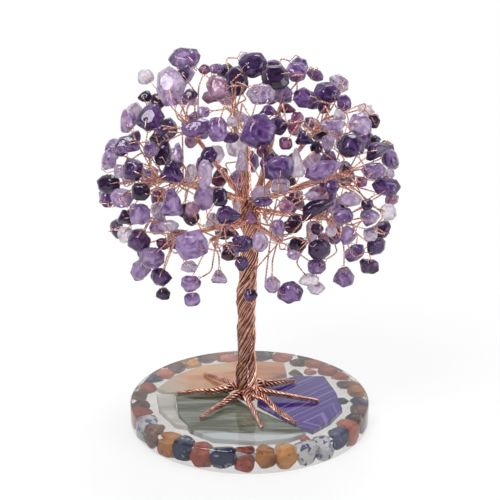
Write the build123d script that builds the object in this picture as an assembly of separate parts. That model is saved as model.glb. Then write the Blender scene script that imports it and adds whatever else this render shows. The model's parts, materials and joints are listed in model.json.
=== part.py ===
from build123d import *
import math
import os

import numpy as np

# A gemstone tree: tumbled amethyst chips on twisted copper wire, in a dome over a
# twisted wire trunk, on a round disc of clear resin with agate slices cast in it.
# The origin is the middle of the disc's underside, +Z up, and the front is -Y.

# Wire
wire_radius = 0.16
pair_gap = 0.04
wire_clearance = 0.14
anchor_step = 1.3

# Disc
disc_radius = 50.0
disc_height = 10.0
disc_rim_round = 1.6
disc_foot_round = 0.8
stone_cover = 1.4
stone_floor = 1.1
socket_depth = 1.2
socket_glue_line = 0.1

# Trunk and roots
trunk_radius = 3.6
trunk_foot_offset = 1.4
root_lift = 0.1
root_radius = 1.7
root_tip_radius = 0.4
root_rise = 3.6

# Limbs
limb_radius = 1.3
limb_tip_radius = 0.6

# Crown, measured from the top of the disc
crown_lift = 92.5
crown_half_width = 59.0
crown_half_depth = 50.0
crown_half_height = 53.0

# Gems
hole_radius = 0.45
least_half_thickness = 1.25
most_half_thickness = 3.0
gem_clearance = 0.3
loop_lift = 0.42
loop_bend = 0.45
edge_gap = 1.0
collar = 0.8
least_lead = 1.3
most_lead = 4.0
swing_room = 1.9

# Sizes that follow from these
pair_radius = 2 * wire_radius + pair_gap / 2
pair_offset = wire_radius + pair_gap / 2
crown_middle = disc_height + crown_lift

# The photograph: where the crown and the disc stand in it, in pixels
FRAME_MIDDLE_PX = (250, 250)
CROWN_MIDDLE_PX = (249, 185)
CROWN_HALF_PX = (148, 132)
VIEW_ELEVATION = math.radians(16)
VIEW_TILT = math.radians(15.1)
nearness_share = 0.093
facing_share = 0.6
hidden_edge_gain = 1.12
least_gem_px = 13

# Searching for a clear place: steps inwards in shares of the crown, and how far a
# wire may turn back on itself
inward_step_share = 0.05
front_steps = 26
inner_steps = 14
anchors_tried = 90
lead_share = 0.25
bend_share = 0.45
sharpest_cosine = -0.35

# Outlines of a chip, as bearings in degrees and shares of its half sizes: a drop, a
# wedge, a block, a triangle, a slab and a round one. Then its side views, as levels
# with their width and their sideways shift
OUTLINE_SHARES = (
    ((0, 1.0), (38, 0.78), (88, 0.82), (140, 0.94), (185, 0.97), (232, 0.92), (285, 0.8), (325, 0.76)),
    ((12, 0.98), (70, 1.0), (118, 0.88), (165, 0.82), (205, 0.99), (262, 0.86), (318, 0.98)),
    ((28, 1.0), (62, 0.97), (128, 0.99), (155, 1.0), (212, 0.97), (240, 1.0), (300, 0.96), (335, 0.99)),
    ((30, 0.72), (85, 1.0), (112, 0.97), (200, 1.0), (224, 0.98), (275, 0.7), (322, 1.0), (346, 0.96)),
    ((5, 1.0), (50, 0.93), (95, 0.8), (130, 0.93), (175, 1.0), (228, 0.9), (270, 0.8), (315, 0.94)),
    ((20, 0.98), (65, 1.0), (110, 0.96), (150, 1.0), (200, 0.95), (245, 1.0), (290, 0.97), (335, 1.0)),
)
LEVEL_SHARES = (
    ((-1.0, 0.56, 0.05), (-0.1, 1.0, 0.0), (1.0, 0.5, -0.08)),
    ((-1.0, 0.5, -0.1), (-0.35, 1.0, 0.0), (0.5, 0.92, 0.03), (1.0, 0.55, 0.08)),
    ((-1.0, 0.66, 0.04), (0.3, 1.0, 0.0), (1.0, 0.6, -0.05)),
)
thickness_share = 0.6
hole_share = 0.3
hanging_hole_share = 0.55
loop_shoulder_share = 0.95

# Chips of the crown's front, read from the photograph: x, y, width, height in
# pixels and the turn in degrees
FRONT_GEMS_PX = {
    "dark": (
        (147, 98, 11, 10, 0), (195, 124, 25, 16, 20), (237, 86, 18, 26, 10), (275, 79, 26, 26, 0),
        (184, 78, 10, 20, -15), (230, 134, 15, 9, 0), (122, 149, 15, 12, 0), (134, 166, 19, 22, 0),
        (110, 182, 21, 18, 15), (142, 187, 16, 15, 0), (219, 190, 13, 20, 0), (278, 122, 18, 21, 0),
        (321, 108, 11, 12, 0), (374, 139, 12, 8, 0), (124, 214, 14, 16, 0), (262, 195, 17, 12, 0),
        (318, 223, 8, 14, 0), (298, 239, 17, 13, 0), (318, 243, 21, 20, 0), (191, 94, 6, 9, 0),
        (366, 200, 9, 10, 0), (335, 236, 13, 12, 0), (227, 229, 18, 11, 0), (313, 203, 32, 16, 35),
        (315, 144, 7, 13, 0), (137, 236, 22, 20, 0), (163, 128, 11, 12, 0), (163, 151, 11, 24, -10),
    ),
    "violet": (
        (151, 117, 23, 25, 0), (218, 125, 18, 22, 0), (251, 67, 23, 28, 0), (295, 75, 17, 20, 0),
        (303, 97, 22, 22, 0), (325, 93, 22, 23, 0), (256, 125, 27, 29, 0), (303, 134, 16, 15, 0),
        (350, 143, 22, 22, 0), (376, 148, 30, 16, 20), (279, 162, 22, 20, 0), (331, 181, 14, 16, 0),
        (384, 185, 24, 18, -10), (139, 209, 22, 22, 0), (192, 239, 26, 24, 0), (159, 274, 20, 20, 0),
        (171, 198, 22, 30, 0), (227, 209, 21, 20, 0), (241, 237, 18, 18, 0), (171, 168, 23, 19, 0),
        (324, 165, 34, 18, 15), (268, 109, 19, 11, 0), (350, 230, 15, 22, 0), (376, 244, 19, 18, 0),
        (288, 289, 20, 20, 0), (343, 211, 17, 16, 0), (241, 258, 13, 18, 0), (345, 173, 17, 19, 0),
        (190, 279, 18, 15, 0), (209, 151, 14, 18, 0), (341, 103, 14, 13, 0),
    ),
    "lilac": (
        (188, 65, 25, 22, -10), (172, 88, 24, 44, 15), (130, 121, 18, 26, 0), (129, 143, 26, 16, 10),
        (178, 150, 13, 20, 0), (205, 169, 14, 24, 0), (204, 110, 13, 10, 0), (281, 95, 18, 20, 0),
        (357, 123, 20, 21, 0), (330, 122, 20, 13, 0), (122, 194, 19, 20, 0), (152, 252, 24, 21, 0),
        (260, 235, 14, 21, 0), (277, 221, 11, 18, 0), (312, 228, 10, 20, 0), (294, 249, 13, 9, 0),
        (317, 261, 19, 15, 0), (371, 213, 17, 17, 0), (311, 190, 14, 11, 0), (152, 146, 14, 19, 0),
        (216, 71, 11, 9, 0), (371, 168, 18, 17, 0), (349, 194, 22, 15, 0), (142, 171, 10, 10, 0),
    ),
    "pale": (
        (149, 82, 15, 17, 0), (232, 118, 13, 10, 0), (260, 92, 24, 20, 0), (241, 157, 11, 25, 0),
        (121, 168, 12, 14, 0), (191, 173, 12, 17, 0), (337, 114, 9, 10, 0), (327, 139, 13, 17, 0),
        (297, 160, 12, 32, 0), (387, 172, 11, 10, 0), (124, 231, 15, 16, 0), (213, 221, 18, 19, 0),
        (167, 220, 18, 12, 0), (187, 262, 16, 11, 0), (387, 209, 15, 16, 0), (371, 230, 15, 15, 0),
        (331, 225, 12, 11, 0), (309, 275, 19, 12, 0), (279, 181, 18, 16, 10),
    ),
    "plum": (
        (160, 102, 14, 15, 0), (218, 87, 18, 23, 10), (286, 111, 14, 10, 0), (296, 117, 9, 13, 0),
        (292, 221, 20, 13, 0), (227, 249, 12, 12, 0), (285, 138, 11, 13, 0), (360, 178, 9, 10, 0),
        (162, 240, 10, 8, 0), (206, 72, 7, 8, 0), (285, 199, 13, 12, 0), (250, 211, 12, 14, 0),
        (192, 204, 12, 17, 0), (262, 146, 11, 9, 0),
    ),
}

# Chips that hang free under the crown, each with the turn of its hole about Z
HANGING_GEMS_PX = {
    "hanging_gem_far_left": (138, 269, 23, 30, 12, "lilac"),
    "hanging_gem_left": (160, 295, 17, 15, -8, "dark"),
    "hanging_gem_left_middle": (190, 297, 19, 18, 10, "violet"),
    "hanging_gem_left_inner": (218, 273, 19, 19, -10, "pale"),
    "hanging_gem_trunk": (250, 292, 16, 16, 0, "dark"),
    "hanging_gem_right_inner": (272, 280, 18, 20, 8, "pale"),
    "hanging_gem_right_middle": (317, 285, 19, 20, -12, "pale"),
    "hanging_gem_right": (345, 275, 23, 23, 10, "lilac"),
    "hanging_gem_far_right": (371, 266, 21, 20, -14, "dark"),
}

# Chips of the back and of the crown's inside, in rings: height share, how near the
# skin, first and last bearing in degrees from the right round the back, and how many
RING_ROWS = (
    (0.93, 0.96, 20, 160, 3),
    (0.78, 0.97, 10, 170, 6),
    (0.52, 0.97, -4, 184, 10),
    (0.24, 0.97, -10, 190, 11),
    (-0.06, 0.97, -10, 190, 11),
    (-0.36, 0.97, 0, 180, 9),
    (-0.62, 0.97, 15, 165, 6),
    (0.68, 0.62, 20, 340, 5),
    (0.42, 0.7, 0, 324, 9),
    (0.1, 0.68, 12, 345, 11),
    (-0.2, 0.66, 0, 330, 11),
    (-0.46, 0.7, 15, 340, 9),
)
RING_SIZES_PX = ((23, 20), (18, 24), (22, 17), (25, 19), (17, 18), (27, 22), (20, 20))
RING_TONES = ("violet", "dark", "lilac", "violet", "plum", "dark", "pale")

# Limbs: x and y in pixels, then how far toward the front, in half depths
LIMB_ROUTES = {
    "limb_left_upper": ((246, 200, 0.0), (235, 178, 0.06), (214, 152, 0.1), (186, 124, 0.12)),
    "limb_left_level": ((245, 204, 0.02), (222, 191, 0.18), (186, 184, 0.36), (150, 172, 0.42)),
    "limb_left_low": ((245, 210, 0.04), (224, 211, 0.26), (196, 226, 0.46), (170, 234, 0.52)),
    "limb_front_left": ((247, 206, 0.08), (240, 208, 0.36), (226, 224, 0.56), (208, 238, 0.62)),
    "limb_top_left": ((248, 196, 0.0), (250, 168, 0.02), (244, 132, 0.1), (232, 98, 0.1)),
    "limb_top_right": ((251, 197, 0.0), (262, 166, -0.02), (270, 132, 0.06), (284, 96, 0.08)),
    "limb_right_upper": ((252, 200, 0.0), (276, 172, 0.1), (304, 140, 0.18), (326, 116, 0.2)),
    "limb_right_level": ((252, 204, 0.03), (284, 192, 0.2), (320, 180, 0.34), (352, 168, 0.36)),
    "limb_right_low": ((252, 210, 0.04), (282, 208, 0.3), (316, 214, 0.44), (345, 219, 0.44)),
    "limb_front_right": ((250, 207, 0.08), (258, 210, 0.36), (270, 224, 0.58), (282, 240, 0.64)),
    "limb_back_left": ((246, 202, -0.05), (222, 190, -0.3), (192, 184, -0.48), (166, 178, -0.56)),
    "limb_back_middle": ((249, 199, -0.06), (250, 178, -0.34), (248, 156, -0.52), (246, 136, -0.6)),
    "limb_back_right": ((252, 202, -0.05), (276, 190, -0.3), (306, 184, -0.48), (334, 178, -0.56)),
}
anchor_from_share = 0.42

# Roots on the disc: side and front shares of the disc's radius, from foot to tip
ROOT_SHARES = {
    "root_left": ((-0.03, 0.02), (-0.32, 0.08), (-0.62, 0.05)),
    "root_left_thin": ((-0.04, 0.05), (-0.25, 0.24), (-0.4, 0.46)),
    "root_front_left": ((-0.04, -0.02), (-0.22, -0.25), (-0.41, -0.44)),
    "root_front": ((-0.03, -0.04), (-0.01, -0.32), (0.11, -0.62)),
    "root_front_right": ((0.01, -0.03), (0.2, -0.24), (0.38, -0.54)),
    "root_right": ((0.02, 0.0), (0.28, -0.11), (0.59, -0.12)),
    "root_back_right": ((0.01, 0.05), (0.2, 0.2), (0.41, 0.28)),
}
ROOT_RADIUS_SHARES = (1.0, 0.6, 0.3)

# Trunk: height share, radius share and lean to the right in radii
TRUNK_SHARES = (
    (0.0, 1.5, 0.0), (0.05, 1.26, 0.02), (0.16, 1.08, 0.08), (0.4, 1.0, 0.1),
    (0.68, 0.98, 0.25), (0.88, 1.08, 0.5), (0.96, 1.1, 0.4), (1.0, 0.8, 0.3),
)
TRUNK_TOP_PX = (247, 198)

# Slices cast in the disc, as shares of its radius: to the right and to the back
SLICE_SHARES = {
    "agate_orange": ((-0.76, 0.2), (-0.64, 0.44), (-0.42, 0.65), (-0.08, 0.76), (0.28, 0.73),
                     (0.3, 0.48), (0.06, 0.32), (-0.14, 0.22), (-0.42, 0.16), (-0.66, 0.12)),
    "quartz_grey": ((-0.78, 0.07), (-0.63, 0.06), (-0.61, -0.16), (-0.57, -0.38), (-0.5, -0.52),
                    (-0.6, -0.48), (-0.74, -0.22)),
    "agate_green": ((-0.6, 0.04), (-0.2, 0.12), (-0.02, -0.17), (0.38, -0.56), (0.42, -0.64),
                    (0.3, -0.72), (0.06, -0.78), (-0.28, -0.73), (-0.46, -0.58), (-0.56, -0.3)),
    "agate_purple": ((0.1, 0.26), (0.4, 0.42), (0.64, 0.42), (0.72, 0.1), (0.75, -0.2),
                     (0.64, -0.42), (0.5, -0.58), (0.4, -0.5), (0.08, -0.1)),
}
SLICE_LEVEL_SHARES = (0.3, 1.0)

# Chips round the rim, from the right round the back, named by their stone
RIM_STONES = (
    "lapis", "ochre", "smoky", "jasper", "jasper", "jasper", "smoky", "jasper", "smoky", "quartz",
    "jasper", "smoky", "ochre", "smoky", "jasper", "lapis", "jasper", "smoky", "smoky", "jasper",
    "quartz", "smoky", "ochre", "lapis", "jasper", "lapis", "jasper", "ochre", "ochre", "quartz",
    "quartz", "lapis", "jasper", "smoky", "smoky",
)
RIM_PLACE_SHARES = (0.885, 0.895, 0.88, 0.89)
RIM_SIZE_SHARES = ((0.075, 0.082), (0.078, 0.066), (0.074, 0.086), (0.076, 0.072))
RIM_LEVEL_SHARES = ((0.1, 0.82), (0.3, 1.0), (0.0, 0.66), (0.16, 0.96))

# Loose chips between the rim and the slices: stone, side and back shares, half length
# and half width shares, and the turn in degrees
LOOSE_STONES = (
    ("smoky", 0.4, 0.56, 0.07, 0.05, -30),
    ("jasper", 0.53, 0.56, 0.055, 0.045, 40),
    ("lapis", 0.775, 0.0, 0.034, 0.034, 0),
    ("jasper", 0.42, -0.69, 0.045, 0.03, 35),
)


def unit(v):
    return v / np.linalg.norm(v)


def shares_of_pixel(x_px, y_px, toward):
    """Side and rise of a pixel in crown halves, once nearness is taken off."""
    near = 1 - nearness_share * toward
    x = FRAME_MIDDLE_PX[0] + (x_px - FRAME_MIDDLE_PX[0]) * near
    y = FRAME_MIDDLE_PX[1] + (y_px - FRAME_MIDDLE_PX[1]) * near
    side = (x - CROWN_MIDDLE_PX[0]) / CROWN_HALF_PX[0]
    rise = (CROWN_MIDDLE_PX[1] - y) / CROWN_HALF_PX[1]
    return side, rise


def crown_place(x_px, y_px, toward):
    """The point that a pixel shows, at a depth given in half depths."""
    side, rise = shares_of_pixel(x_px, y_px, toward)
    height = (rise + toward * math.sin(VIEW_TILT)) / math.cos(VIEW_TILT)
    return np.array([
        side * crown_half_width,
        -toward * crown_half_depth,
        crown_middle + height * crown_half_height,
    ])


def toward_on_dome(x_px, y_px):
    """How far toward the front the dome's skin lies behind a pixel."""
    toward = 0.5
    for _ in range(8):
        side, rise = shares_of_pixel(x_px, y_px, toward)
        depth = math.sqrt(max(1 - side**2 - rise**2, 0))
        toward = depth * math.cos(VIEW_TILT) - rise * math.sin(VIEW_TILT)
    return toward


def length_of_px(size_px, toward):
    return size_px * crown_half_width / CROWN_HALF_PX[0] * (1 - nearness_share * toward)


def outward(place):
    """The dome's outward direction at a place."""
    halves = np.array([crown_half_width, crown_half_depth, crown_half_height])
    return unit((place - np.array([0, 0, crown_middle])) / halves**2)


def turned(bearing):
    angle = math.radians(bearing)
    return math.cos(angle), math.sin(angle)


def chip_corners(outline, levels, halves):
    """Corners of a chip: its outline at each level, as wide and as shifted as told."""
    corners = []
    for level, wide, shift in levels:
        for bearing, share in outline:
            cosine, sine = turned(bearing)
            corners.append((
                halves[0] * (share * wide * cosine + shift),
                halves[1] * (share * wide * sine - shift),
                halves[2] * level,
            ))
    return corners


def plane_at(origin, x_dir, z_dir):
    return Plane(origin=tuple(origin), x_dir=tuple(x_dir), z_dir=tuple(z_dir))


def corner_room(a, b, c):
    """The turn at a corner b, and how far from it the wire may start to bend."""
    turn = math.acos(max(-1.0, min(1.0, float(unit(b - a) @ unit(c - b)))))
    return turn, bend_share * min(np.linalg.norm(b - a), np.linalg.norm(c - b))


def bent_route(a, b, c):
    """The places of a wire that rounds off its corner b with an arc."""
    turn, room = corner_room(a, b, c)
    into = unit(b - a)
    inward = unit(unit(c - b) - into * math.cos(turn))
    radius = room / math.tan(turn / 2)
    arc = [
        b - into * room + radius * (into * math.sin(angle) + inward * (1 - math.cos(angle)))
        for angle in np.linspace(0, turn, 7)
    ]
    return [a, *arc, c]


def tube(points, radius, bend=None):
    """A round wire along straight runs joined by arcs."""
    corners = []
    for a, b, c in zip(points, points[1:], points[2:]):
        turn, room = corner_room(a, b, c)
        widest = room / math.tan(turn / 2)
        corners.append(min(widest, bend) if bend else widest)
    route = FilletPolyline(*[tuple(p) for p in points], radius=corners)
    start = Plane(origin=route @ 0, z_dir=route % 0)
    return sweep(start * Circle(radius), path=route)


def taper(points, radii):
    """A loft through round sections square to a route."""
    sections = []
    for i, (point, radius) in enumerate(zip(points, radii)):
        before = points[max(i - 1, 0)]
        after = points[min(i + 1, len(points) - 1)]
        sections.append(Plane(origin=tuple(point), z_dir=tuple(after - before)) * Circle(radius))
    return loft(sections, ruled=True)


def largest(shape):
    return max(shape.solids(), key=lambda solid: solid.volume)


def between(a, b, share):
    return a + (b - a) * share


def smooth(points, steps=3):
    """Points of a gentle curve through the given ones."""
    ends = [2 * points[0] - points[1], *points, 2 * points[-1] - points[-2]]
    curve = []
    for a, b, c, d in zip(ends, ends[1:], ends[2:], ends[3:]):
        for i in range(steps):
            t = i / steps
            curve.append(
                b + t * (c - a) / 2
                + t**2 * (2 * a - 5 * b + 4 * c - d) / 2
                + t**3 * (3 * b - a - 3 * c + d) / 2
            )
    return [*curve, points[-1]]


def along(points, step):
    """Evenly spaced places along straight runs, and each one's share of the whole."""
    runs = [np.linalg.norm(b - a) for a, b in zip(points, points[1:])]
    total = sum(runs)
    places, shares, done = [], [], 0.0
    for a, b, run in zip(points, points[1:], runs):
        count = max(1, math.ceil(run / step))
        for i in range(count):
            places.append(between(a, b, i / count))
            shares.append((done + run * i / count) / total)
        done += run
    return np.array([*places, points[-1]]), np.array([*shares, 1.0])


class Gem:
    """One drilled chip: where it is, how it lies and where its wire leaves it."""

    def __init__(self, place, axes, halves, form, swings=False):
        self.place = place
        self.axes = axes
        self.halves = halves
        self.outline = OUTLINE_SHARES[form % len(OUTLINE_SHARES)]
        self.levels = LEVEL_SHARES[form % len(LEVEL_SHARES)]
        self.swings = swings
        self.route = None
        room = swing_room if swings else 0
        lifted = halves[2] + loop_lift + wire_radius
        self.room = np.array([halves[0] + room, halves[1] + room / 3, lifted])
        self.corners = place + np.array(self.corner_places(self.room)) @ axes

    def corner_places(self, halves):
        """Corners in the chip's own axes."""
        return chip_corners(self.outline, self.levels, halves)

    def reach(self, u):
        """How far the chip's outline reaches along a direction in its plane."""
        ring = [
            np.array([self.halves[0] * share * cosine, self.halves[1] * share * sine])
            for share, cosine, sine in ((share, *turned(bearing)) for bearing, share in self.outline)
        ]
        reaches = []
        for a, b in zip(ring, ring[1:] + ring[:1]):
            normal = np.array([b[1] - a[1], a[0] - b[0]])
            if normal @ u[:2] > 0:
                reaches.append((normal @ a) / (normal @ u[:2]))
        return min(reaches)

    def holds(self, places, reaches):
        """Which places lie inside the chip once it is swollen by their reaches."""
        own = np.abs((places - self.place) @ self.axes.T)
        swollen = self.room[None, :] + reaches[:, None]
        round_about = np.hypot(own[:, 0] / swollen[:, 0], own[:, 1] / swollen[:, 1])
        return np.maximum(round_about, own[:, 2] / swollen[:, 2]) < 1

    def clears(self, other):
        """True where some plane parts the two chips by the clearance."""
        across = other.place - self.place
        if np.linalg.norm(across) > max(self.room) + max(other.room) + gem_clearance:
            return True
        level = np.array([across[0], 0, across[2]])
        directions = [*self.axes, *other.axes, unit(across), unit(level)]
        for direction in directions:
            mine = self.corners @ direction
            theirs = other.corners @ direction
            if theirs.min() - mine.max() > gem_clearance:
                return True
            if mine.min() - theirs.max() > gem_clearance:
                return True
        return False


class Crown:
    """Everything placed so far, for finding clear places and clear wire routes."""

    def __init__(self):
        self.gems = []
        self.places = np.empty((0, 3))
        self.reaches = np.empty(0)
        self.owners = np.empty(0, dtype=int)
        self.anchors = []

    def add_wire(self, places, reaches, owner):
        self.places = np.vstack([self.places, places])
        self.reaches = np.append(self.reaches, reaches)
        self.owners = np.append(self.owners, np.full(len(places), owner))

    def gem_fits(self, gem):
        low = gem.place - max(gem.room) - 2 * trunk_radius
        high = gem.place + max(gem.room) + 2 * trunk_radius
        near = np.all((self.places > low) & (self.places < high), axis=1)
        if gem.holds(self.places[near], self.reaches[near] + wire_clearance).any():
            return False
        return all(gem.clears(other) for other in self.gems)

    def wire_fits(self, places, reaches, own_limb, by_anchor):
        """by_anchor marks the places so near their limb that it may be close."""
        low = places.min(axis=0) - 2 * trunk_radius
        high = places.max(axis=0) + 2 * trunk_radius
        near = np.all((self.places > low) & (self.places < high), axis=1)
        gaps = np.linalg.norm(places[:, None] - self.places[near][None], axis=2)
        gaps = gaps - self.reaches[near][None] - reaches[:, None]
        gaps[np.ix_(by_anchor, self.owners[near] == own_limb)] = 2 * trunk_radius
        if gaps.size and gaps.min() < wire_clearance:
            return False
        for gem in self.gems:
            if np.any(gem.place < low - max(gem.room)) or np.any(gem.place > high + max(gem.room)):
                continue
            if gem.holds(places, reaches + wire_clearance).any():
                return False
        return True

    def find_route(self, gem, turns=(0, 30, -30, 60, -60, 95, -95)):
        """The first clear wire from the gem's edge to a limb, nearest limb first."""
        ordered = sorted(self.anchors, key=lambda a: np.linalg.norm(a[1] - gem.place))
        for limb, anchor, limb_reach in ordered[:anchors_tried]:
            straight = gem.axes @ (anchor - gem.place)
            bearing = 90 if gem.swings else math.degrees(math.atan2(straight[1], straight[0]))
            for turn in (0,) if gem.swings else turns:
                angle = math.radians(bearing + turn)
                u = np.array([math.cos(angle), math.sin(angle), 0])
                if self.try_route(gem, limb, anchor, limb_reach, u):
                    return True
        return False

    def try_route(self, gem, limb, anchor, limb_reach, u):
        out = u @ gem.axes
        edge = gem.place + out * gem.reach(u)
        end = edge + out * (edge_gap + collar)
        lead = min(max(np.linalg.norm(anchor - end) * lead_share, least_lead), most_lead)
        elbow = end + out * lead
        run = anchor - elbow
        if np.linalg.norm(run) < limb_reach + least_lead or unit(run) @ out < sharpest_cosine:
            return False
        neck, _ = along([edge + out * edge_gap / 2, end], wire_radius * 2)
        wire, _ = along(bent_route(end, elbow, anchor), pair_radius)
        from_anchor = np.linalg.norm(wire - anchor, axis=1)
        bare = from_anchor > math.sqrt(limb_reach**2 - pair_radius**2)
        wire = wire[bare]
        from_anchor = from_anchor[bare]
        places = np.vstack([neck, wire])
        reaches = np.append(np.full(len(neck), edge_gap / 2), np.full(len(wire), pair_radius))
        by_anchor = np.append(np.full(len(neck), False), from_anchor < 2 * limb_reach + most_lead / 3)
        if not self.wire_fits(places, reaches, limb, by_anchor):
            return False
        back = np.linalg.norm(wire - end, axis=1) > lead
        if gem.holds(wire[back], np.full(back.sum(), pair_radius + wire_clearance)).any():
            return False
        gem.route = [end, elbow, anchor]
        gem.limb = limb
        gem.u = u
        self.gems.append(gem)
        self.add_wire(places, reaches, -1)
        return True


def gem_axes(facing, turn):
    """Rows: across, up and out of the chip's broad face."""
    across = np.cross(np.array([0, 0, 1.0]), facing)
    across = unit(across)
    up = np.cross(facing, across)
    c, s = math.cos(math.radians(turn)), math.sin(math.radians(turn))
    return np.array([across * c + up * s, up * c - across * s, facing])


def gem_halves(width_px, height_px, toward):
    halves = [length_of_px(size, toward) / 2 for size in (width_px, height_px)]
    thick = min(max(thickness_share * min(halves), least_half_thickness), most_half_thickness)
    return np.array([*halves, thick])


def front_gem(crown, row, form):
    """A chip seen in the photograph, as near the dome's skin as it fits."""
    x_px, y_px, *sizes_px, turn = row
    sizes_px = [max(size * hidden_edge_gain, least_gem_px) for size in sizes_px]
    skin = toward_on_dome(x_px, y_px)
    sight = np.array([0, -math.cos(VIEW_ELEVATION), math.sin(VIEW_ELEVATION)])
    for step_in in range(front_steps):
        toward = skin - step_in * inward_step_share
        place = crown_place(x_px, y_px, toward)
        facing = unit(facing_share * sight + (1 - facing_share) * outward(place))
        halves = gem_halves(*sizes_px, toward)
        gem = Gem(place, gem_axes(facing, turn), halves, form)
        if crown.gem_fits(gem) and crown.find_route(gem):
            return gem
    return None


def ring_gem(crown, height, nearness, bearing, size_px, form):
    """A chip of a ring, in its place or just inside it."""
    for step_in in range(inner_steps):
        shrink = nearness - step_in * inward_step_share
        ring = math.sqrt(1 - height**2)
        angle = math.radians(bearing)
        place = np.array([
            math.cos(angle) * ring * shrink * crown_half_width,
            math.sin(angle) * ring * shrink * crown_half_depth,
            crown_middle + height * shrink * crown_half_height,
        ])
        gem = Gem(place, gem_axes(outward(place), bearing), gem_halves(*size_px, 0), form)
        if crown.gem_fits(gem) and crown.find_route(gem):
            return gem
    return None


def hanging_gem(crown, x_px, y_px, width_px, height_px, yaw, form):
    """A chip that hangs from its top edge and swings on its wire."""
    angle = math.radians(yaw)
    facing = np.array([math.sin(angle), -math.cos(angle), 0])
    skin = toward_on_dome(x_px, y_px)
    for step_in in range(front_steps):
        toward = skin - step_in * inward_step_share
        place = crown_place(x_px, y_px, toward)
        halves = gem_halves(width_px, height_px, toward)
        gem = Gem(place, gem_axes(facing, 0), halves, form, swings=True)
        if crown.gem_fits(gem) and crown.find_route(gem):
            return gem
    return None


def gem_solid(gem):
    """The chip with its hole, and the middle of the hole."""
    share = hanging_hole_share if gem.swings else hole_share
    hole = gem.u * gem.reach(gem.u) * share
    chip = ConvexPolyhedron(gem.corner_places(gem.halves))
    chip -= Pos(*hole) * Cylinder(hole_radius, 4 * gem.halves[2])
    seat = plane_at(gem.place, gem.axes[0], gem.axes[2])
    return seat.location * chip.solid(), gem.place + hole @ gem.axes


def loop_solid(gem):
    """The wire through the hole, over both faces and back to the twist."""
    share = hanging_hole_share if gem.swings else hole_share
    reach = gem.reach(gem.u)
    leg = gem.halves[2] + loop_lift
    half = [
        (reach + edge_gap + collar, pair_offset),
        (reach + edge_gap, pair_offset),
        (reach * loop_shoulder_share, leg),
        (reach * share, leg),
    ]
    outline = [(r, -w) for r, w in half] + half[::-1]
    out = gem.u @ gem.axes
    route = [gem.place + out * r + gem.axes[2] * w for r, w in outline]
    return tube(route, wire_radius, bend=loop_bend)


def cast_chip(form, halves, low, high):
    """A chip that lies flat in the resin between two heights."""
    outline = OUTLINE_SHARES[form % len(OUTLINE_SHARES)]
    levels = LEVEL_SHARES[form % len(LEVEL_SHARES)]
    corners = chip_corners(outline, levels, (*halves, (high - low) / 2))
    return Pos(0, 0, (low + high) / 2) * ConvexPolyhedron(corners)


def disc_parts():
    """The stones, and the resin cast round them."""
    room = disc_height - stone_cover - stone_floor
    nodes = {}
    for name, shares in SLICE_SHARES.items():
        low = stone_floor + room * SLICE_LEVEL_SHARES[0]
        high = stone_floor + room * SLICE_LEVEL_SHARES[1]
        points = [(x * disc_radius, y * disc_radius, low) for x, y in shares]
        face = make_face(Polyline(*points, close=True))
        nodes[name] = [extrude(face, amount=high - low, dir=(0, 0, 1)).solid()]
    for i, stone in enumerate(RIM_STONES):
        halves = [disc_radius * share for share in RIM_SIZE_SHARES[i % len(RIM_SIZE_SHARES)]]
        low_share, high_share = RIM_LEVEL_SHARES[(3 * i) % len(RIM_LEVEL_SHARES)]
        chip = cast_chip(i, halves, stone_floor + room * low_share, stone_floor + room * high_share)
        place = disc_radius * RIM_PLACE_SHARES[i % len(RIM_PLACE_SHARES)]
        turn = 360 * i / len(RIM_STONES)
        chip = Rot(0, 0, turn) * Pos(place, 0, 0) * Rot(0, 0, 90) * chip
        nodes.setdefault("chips_" + stone, []).append(chip.solid())
    for i, (stone, side, back, long_share, wide_share, turn) in enumerate(LOOSE_STONES):
        halves = [disc_radius * long_share, disc_radius * wide_share]
        low_share, high_share = RIM_LEVEL_SHARES[i % len(RIM_LEVEL_SHARES)]
        chip = cast_chip(i, halves, stone_floor + room * low_share, stone_floor + room * high_share)
        chip = Pos(side * disc_radius, back * disc_radius, 0) * Rot(0, 0, turn) * chip
        nodes.setdefault("chips_" + stone, []).append(chip.solid())
    disc = Pos(0, 0, disc_height / 2) * Cylinder(disc_radius, disc_height)
    disc = fillet(disc.edges().sort_by(Axis.Z)[-1], disc_rim_round)
    disc = fillet(disc.edges().sort_by(Axis.Z)[0], disc_foot_round)
    foot = trunk_radius * TRUNK_SHARES[0][1] + socket_glue_line
    socket = Cylinder(foot, 2 * socket_depth)
    disc -= Pos(-trunk_foot_offset, 0, disc_height) * socket
    disc -= [stone for stones in nodes.values() for stone in stones]
    nodes["resin_disc"] = [disc.solid()]
    return nodes


def trunk_route():
    """Sections of the trunk: places and radii, the lowest in its socket."""
    top = crown_place(*TRUNK_TOP_PX, 0)[2]
    foot = np.array([-trunk_foot_offset, 0, disc_height])
    places = [foot - np.array([0, 0, socket_depth])]
    radii = [trunk_radius * TRUNK_SHARES[0][1]]
    for height, wide, lean in TRUNK_SHARES:
        rise = (top - disc_height) * height
        places.append(foot + np.array([lean * trunk_radius, 0, rise]))
        radii.append(trunk_radius * wide)
    return places, radii


def trunk_solid(places, radii):
    """A level loft over a short round plug that stands in the socket."""
    plug = extrude(Plane(origin=tuple(places[0])) * Circle(radii[0]), amount=socket_depth)
    shaft = loft([
        Plane(origin=tuple(place)) * Circle(radius) for place, radius in zip(places[1:], radii[1:])
    ])
    return (plug + shaft).solid()


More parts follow.
